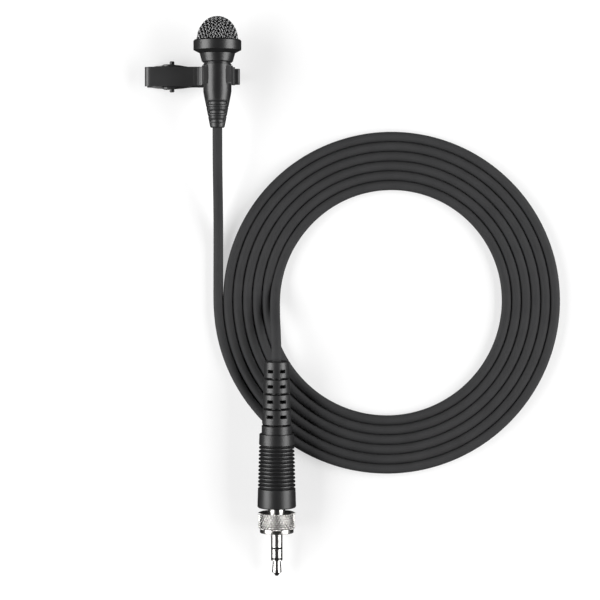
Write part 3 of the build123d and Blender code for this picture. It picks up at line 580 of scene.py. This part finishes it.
def grid_faces(start, rows, columns):
    faces = []
    for i in range(rows - 1):
        for j in range(columns - 1):
            corner = start + i * columns + j
            faces.append((corner, corner + 1, corner + columns + 1, corner + columns))
    return faces


def stamped(name, parts, thickness, material, body, *nodes):
    """Sheet metal: each part is rows of points on its middle surface. It is given its
    thickness and eased edges by modifiers."""
    points, faces = [], []
    for rows in parts:
        faces += grid_faces(len(points), len(rows), len(rows[0]))
        points += [mic_place @ (Vector(point) * MM) for row in rows for point in row]
    made = piece(name, points, faces, material, body, "clip_black", *nodes)
    thick = made.modifiers.new("thickness", "SOLIDIFY")
    thick.thickness, thick.offset, thick.use_even_offset = thickness * MM, 0, True
    ease = made.modifiers.new("eased_edges", "BEVEL")
    ease.width, ease.segments, ease.limit_method, ease.angle_limit = EDGE_EASE, 3, "ANGLE", EDGE_ANGLE
    ease.harden_normals = True


COLUMNS = 4 * TEETH + 5
LIP_WIDTH = 2 * LEVER_OUTLINE[-1][1]


def toothed(column, depth):
    """How far a lip's edge is cut back at a place across its width."""
    y = (column / (COLUMNS - 1) - 0.5) * LIP_WIDTH
    share = (y / TOOTH_PITCH) % 1
    return depth * (1 - abs(2 * share - 1)) if abs(y) < TEETH / 2 * TOOTH_PITCH else 0


def lever_rows(path, outline, edge_sign):
    """A lever's middle surface along its path, with the teeth cut in its last row."""
    rows = []
    for i, place in enumerate(path):
        half = outline_at(outline, place.x)
        depth = TOOTH_DEPTH if i == len(path) - 1 else 0
        rows.append([
            (place.x, half * (2 * j / (COLUMNS - 1) - 1), place.y - edge_sign * toothed(j, depth))
            for j in range(COLUMNS)
        ])
    return rows


def disc_with_foot(y, radius, foot_half, foot_z, hole):
    """An ear: round about the pin, widening to its foot on the lever, with the pin's hole."""
    rows = [[], []]
    for i in range(EAR_STEPS + 1):
        turn = 2 * pi * i / EAR_STEPS
        ray = Vector((cos(turn), sin(turn)))
        length = radius
        depth = (foot_z - PIVOT_Z) / ray.y if ray.y else 0
        if depth > 0:
            for step in range(FOOT_STEPS):
                share = (step + 1) / FOOT_STEPS
                if abs(ray.x * depth * share) > radius + (foot_half - radius) * share:
                    break
                length = max(radius, depth * share)
        for row, far in zip(rows, (hole, length)):
            row.append((PIVOT_X + far * ray.x, y, PIVOT_Z + far * ray.y))
    return rows


upper_path = rounded(UPPER_PATH, UPPER_BENDS)
PIN_RADIUS, EAR_RADIUS, EAR_OFFSET, FOOT_HALF = 0.715, 1.25, 2.75, 2.45
ears = [
    disc_with_foot(side * EAR_OFFSET, EAR_RADIUS, FOOT_HALF, PLATE_MIDDLE, PIN_RADIUS) for side in (-1, 1)
]
upper_parts = [lever_rows(upper_path, LEVER_OUTLINE, -1), *ears]
stamped("clip_top_lever", upper_parts, SHEET, blackened, "clip", "clip_upper_lever")

lower_path = rounded(LOWER_PATH, LOWER_BENDS)
flanges = []
for side in (-1, 1):
    rows = []
    for i in range(FLANGE_STEPS + 1):
        share = i / FLANGE_STEPS
        x = FLANGE_START + (FLANGE_END - FLANGE_START) * share
        floor_z = min(lower_path, key=lambda place: abs(place.x - x)).y
        rise = sin(pi * share) ** RISE_POWER
        hump = 1 - smooth(abs(x - PIVOT_X), HUMP_FLAT, HUMP_REACH)
        top = floor_z + (FLANGE_TOP - HUMP_HEIGHT - floor_z) * rise + HUMP_HEIGHT * hump
        y = side * (outline_at(FLANGE_OUTLINE, x) - SHEET / 2)
        rows.append([(x, y, floor_z + (top - floor_z) * j / FLANGE_ROWS) for j in range(FLANGE_ROWS + 1)])
    flanges.append(rows)
lower_parts = [lever_rows(lower_path, FLANGE_OUTLINE, 1), *flanges]
stamped("clip_bottom_lever", lower_parts, SHEET, blackened, "jaw", "clip_lower_lever")
paint(blackened, "pivot_pin", "clasp_rivet")

# Torsion spring: drawn wire wound round the pin, with one leg under the top lever and the
# other on the bottom lever's floor.
WIRE_RADIUS, SPRING_RADIUS, SPRING_TURNS, SPRING_PITCH = 0.2, 1.035, 4.75, 0.44
TURN_STEPS, FIRST_TURN = 32, radians(100)
TOP_LEG = [(-18.6, -0.02, -6.08), (-17.5, -0.02, -6.1), (-16.0, -0.01, -6.2)]
LOWER_LEG = [(-13.1, -7.9), (-14.2, -8.55), (-15.4, -8.95), (-17.0, -9.2), (-18.4, -9.3)]
LOWER_LEG_GAP = 0.3
PIN_LINE = Vector((0, 1, 0.013)).normalized()  # a little off, so that no run of wire is along it
drawn_wire = finish("drawn_spring_wire", (0.3, 0.3, 0.31), 0.3, 0.08 * MM, 0.001 * MM, Metallic=1.0)


def spring_part(name, path, body, *nodes):
    places = [mic_place @ (Vector(place) * MM) for place in path]
    points, faces = [], []
    tube_skin(points, faces, places, [PIN_LINE] * len(places), WIRE_RADIUS * MM, sides=10)
    piece(name, points, faces, drawn_wire, body, "spring_steel", *nodes)


turns = []
for i in range(int(SPRING_TURNS * TURN_STEPS) + 1):
    angle = FIRST_TURN + 2 * pi * i / TURN_STEPS
    y = (i / TURN_STEPS - SPRING_TURNS / 2) * SPRING_PITCH
    turns.append((PIVOT_X + SPRING_RADIUS * cos(angle), y, PIVOT_Z + SPRING_RADIUS * sin(angle)))
top_leg = [(x, turns[0][1] + y, z) for x, y, z in TOP_LEG]
spring_part("spring_coil", top_leg + turns, "clip", "torsion_spring")
leg_y = turns[-1][1] + LOWER_LEG_GAP
spring_part("spring_lower_leg", [(x, leg_y, z) for x, z in LOWER_LEG], "jaw")

# Clasp: a ring of thin blackened spring steel, open on top, that snaps round the housing.
# Its two arms go down and out to the top lever, and a rivet holds it there.
CLASP_SHEET, CLASP_RADIUS, CLASP_HALF_WIDTH = 0.35, 4.475, 2.75
LIP_HALF_WIDTH, LIP_LENGTH, LIP_LEAN, OPENING = 2.35, 1.0, radians(84), radians(43)
LEFT_ARM = [
    (-CLASP_RADIUS, 0), (-CLASP_RADIUS, -4.35), (-5.0, -4.68),
    (-5.6, -4.9), (-6.3, -5.05), (-7.3, -5.075),
]
RIGHT_ARM = [(CLASP_RADIUS, 0), (CLASP_RADIUS, -4.55), (4.85, -5.075), (5.2, -5.075)]
ARM_BEND, RING_STEPS = 0.5, 72


def strip_rows(path, half_widths):
    """Rows across a strip that follows (x, z) points, each row with its own half width."""
    return [[(x, y * half, z) for y in (-1, -0.5, 0, 0.5, 1)] for (x, z), half in zip(path, half_widths)]


ring = []
for i in range(RING_STEPS + 1):
    angle = OPENING + (2 * pi - 2 * OPENING) * i / RING_STEPS
    ring.append((CLASP_RADIUS * sin(angle), CLASP_RADIUS * cos(angle)))
lean = Vector((sin(LIP_LEAN), cos(LIP_LEAN))) * LIP_LENGTH
lips = [(ring[0][0] + lean.x * share, ring[0][1] + lean.y * share) for share in (1, 0.5)]
path = lips + ring + [(-x, z) for x, z in reversed(lips)]
lip_widths = [LIP_HALF_WIDTH] * len(lips)
parts = [strip_rows(path, lip_widths + [CLASP_HALF_WIDTH] * len(ring) + lip_widths)]
for arm in (LEFT_ARM, RIGHT_ARM):
    bent = rounded(arm, [ARM_BEND] * len(arm))
    parts.append(strip_rows(bent, [CLASP_HALF_WIDTH] * len(bent)))
stamped("clasp", parts, CLASP_SHEET, blackened, "clip", "mic_clasp")

# Plug: turned contacts and a knurled coupling nut in bright nickel, two black insulators,
# and a ribbed black barrel. Sizes are along the plug from the nut's mouth to the rear.
mouth = next(mount for mount in frame["record"]["mounts"] if mount["name"] == "coupling_thread")
rearward = -Vector(mouth["axis"])
plug_place = Matrix.Translation(mouth["pos_m"]) @ rearward.to_track_quat("Y", "Z").to_matrix().to_4x4()
nickel = finish(
    "bright_nickel", (0.54, 0.53, 0.515), 0.27, 0.1 * MM, 0.0008 * MM, drift=0.04, rings=1.0, Metallic=1.0
)
paint(nickel, "jack_sleeve", "jack_ring", "jack_tip", "plug_neck", "nut_stop_ring")

NUT_RADIUS, SKIRT_RADIUS, SKIRT_END, NUT_END = 5.64, 5.1, 1.3, 6.1
NUT_SHOULDER = 0.3  # between the knurl's radius and its ends'
KNURL_START, KNURL_END, KNURL_COUNT, KNURL_PITCH, KNURL_DEPTH = 1.5, 5.95, 36, 1.3, 0.4
KNURL_STATIONS, KNURL_FLAT = 40, 1.3  # how many rings, and how soon the diamonds' tops are flat
THREAD_RADIUS, THREAD_PITCH, THREAD_DEPTH, WEB_FACE, NECK_BORE = 3.35, 0.55, 0.24, 4.6, 2.65
THREAD_STATIONS, THREAD_START, THREAD_RUN_OUT = 56, 0.1, 0.45
MOUTH_FLARE, MOUTH_EDGE = 0.35, [(0.0, 0.15), (0.04, 0.04), (0.15, 0)]  # place and cut


def crest(turns):
    """How high a V-cut pattern stands: 0 in its groove and 1 midway between grooves."""
    return 1 - abs(2 * (turns % 1) - 1)


def knurled(y):
    def reach(angle):
        around_it, along_it = angle * KNURL_COUNT / (2 * pi), y / KNURL_PITCH
        stand = min(crest(around_it + along_it), crest(around_it - along_it))
        return NUT_RADIUS - KNURL_DEPTH * (1 - min(stand * KNURL_FLAT, 1))

    return reach


def threaded(y):
    return lambda angle: THREAD_RADIUS + THREAD_DEPTH * (1 - crest(y / THREAD_PITCH - angle / (2 * pi)))


rings = [(0.0, THREAD_RADIUS + MOUTH_FLARE)]
rings += [(y, SKIRT_RADIUS - cut) for y, cut in MOUTH_EDGE]
rings += [(SKIRT_END, SKIRT_RADIUS), (SKIRT_END, NUT_RADIUS - NUT_SHOULDER)]
for i in range(KNURL_STATIONS + 1):
    y = KNURL_START + (KNURL_END - KNURL_START) * i / KNURL_STATIONS
    rings.append((y, knurled(y)))
rings += [(NUT_END, NUT_RADIUS - NUT_SHOULDER), (NUT_END, NECK_BORE)]
rings += [(WEB_FACE, NECK_BORE), (WEB_FACE, THREAD_RADIUS)]
for i in range(THREAD_STATIONS):
    y = WEB_FACE - THREAD_START - (WEB_FACE - THREAD_RUN_OUT) * i / (THREAD_STATIONS - 1)
    rings.append((y, threaded(y)))
points, faces = lathe(plug_place, rings, around(360))
piece("knurled_nut", points, faces, nickel, "nut", "nickel", "coupling_nut", sharp=20)

BARREL_START, BARREL_END = 7.7, 30.2
BARREL_RADII = (5.85, 5.25)
BARREL_BORE, NECK_RADIUS, FRONT_WALL = 4.2, 2.6, 2.0
RIBS, RIB_PITCH, FIRST_GROOVE, GROOVE = 11, 1.15, 13.9, 0.62
SHOULDER_HALF, GROOVE_STEPS, GROOVE_FULLNESS = 0.42, 6, 0.7
BARREL_ROUND, BARREL_EDGE = 0.4, [(-0.2, 0), (-0.06, 0.06), (0, 0.2)]  # place and cut
enamel = finish("satin_black_plug", (0.012, 0.012, 0.0125), 0.4, 0.08 * MM, 0.0025 * MM, rings=0.6)


def barrel(y):
    narrowing = BARREL_RADII[1] - BARREL_RADII[0]
    return BARREL_RADII[0] + narrowing * (y - BARREL_START) / (BARREL_END - BARREL_START)


rings = [(BARREL_START, NECK_RADIUS), (BARREL_START, BARREL_RADII[0] - BARREL_ROUND)]
for i in range(1, ROUND_STEPS + 1):
    turn = pi / 2 * i / ROUND_STEPS
    y = BARREL_START + BARREL_ROUND * (1 - cos(turn))
    rings.append((y, barrel(BARREL_START) - BARREL_ROUND * (1 - sin(turn))))
for i in range(RIBS + 1):
    middle_y = FIRST_GROOVE + i * RIB_PITCH
    for step in range(-GROOVE_STEPS, GROOVE_STEPS + 1):
        share = step / GROOVE_STEPS
        y = middle_y + share * SHOULDER_HALF
        rings.append((y, barrel(y) - GROOVE * (0.5 + 0.5 * cos(pi * share)) ** GROOVE_FULLNESS))
rings += [(BARREL_END + y, barrel(BARREL_END) - cut) for y, cut in BARREL_EDGE]
rings += [(BARREL_END, BARREL_BORE), (BARREL_START + FRONT_WALL, BARREL_BORE)]
rings.append((BARREL_START + FRONT_WALL, NECK_RADIUS))
points, faces = lathe(plug_place, rings, around(128))
piece("ribbed_barrel", points, faces, enamel, "mic", "plug_black", "plug_barrel")
paint(enamel, "plug_end_cap")

# Plug's strain relief: a tapered moulded rubber sleeve. Windows either side of a web in its top
# and bottom take turns with narrow slots across them, down to a core, so that it can bend.
RELIEF_START, RELIEF_END = 33.1, 52.2
RELIEF_RADII, RELIEF_CORE, WEB_HALF = (4.425, 3.65), 1.9, 1.05
RIM_SHARE = 0.68  # of the sleeve's radius, past which a window is closed
RELIEF_ROWS, RELIEF_PITCH, FIRST_SLOT = 4, 4.59, 2.5
WINDOW, FACE_SLOT = 0.9, 0.55  # how long each is along the plug
RELIEF_EDGE, RELIEF_ROUND = 0.15, 0.35
SLOT_EDGE = [(-0.1, 0), (-0.02, 0.05), (0.02, 1)]  # distance inward, share of depth
RELIEF_SPIGOT, RELIEF_SPIGOT_LENGTH = 3.0, 5.0


def sleeve(y):
    narrowing = RELIEF_RADII[1] - RELIEF_RADII[0]
    return RELIEF_RADII[0] + narrowing * (y - RELIEF_START) / (RELIEF_END - RELIEF_START)


def slot_rule(y, windowed, share):
    """A ring in a slot: down to the core, but for the webs and the rim that the slot leaves."""
    full = sleeve(y)

    def reach(angle):
        if windowed and abs(cos(angle)) > RIM_SHARE:
            return full
        web = WEB_HALF / max(abs(cos(angle) if windowed else sin(angle)), 0.001)
        return full - (full - min(max(web, RELIEF_CORE), full)) * share

    return reach


rings = [(RELIEF_START, CORD_BORE * 2), (RELIEF_START, RELIEF_RADII[0] - RELIEF_EDGE)]
rings.append((RELIEF_START + RELIEF_EDGE, RELIEF_RADII[0]))
for row in range(2 * RELIEF_ROWS - 1):
    windowed = row % 2 == 0
    middle_y = RELIEF_START + FIRST_SLOT + row * RELIEF_PITCH / 2
    half = (WINDOW if windowed else FACE_SLOT) / 2
    edges = [(y - half, share) for y, share in SLOT_EDGE]
    edges += [(half - y, share) for y, share in reversed(SLOT_EDGE)]
    for y, share in edges:
        rings.append((middle_y + y, slot_rule(middle_y + y, windowed, share)))
for i in range(ROUND_STEPS + 1):
    turn = pi / 2 * i / ROUND_STEPS
    y = RELIEF_END - RELIEF_ROUND * (1 - sin(turn))
    rings.append((y, sleeve(RELIEF_END) - RELIEF_ROUND * (1 - cos(turn))))
rings += [(RELIEF_END, CORD_BORE), (RELIEF_START - RELIEF_SPIGOT_LENGTH, CORD_BORE)]
rings += [(RELIEF_START - RELIEF_SPIGOT_LENGTH, RELIEF_SPIGOT), (RELIEF_START, RELIEF_SPIGOT)]
points, faces = lathe(plug_place, rings, around(180))
piece("plug_sleeve", points, faces, rubber, "mic", "rubber_black", "plug_strain_relief")
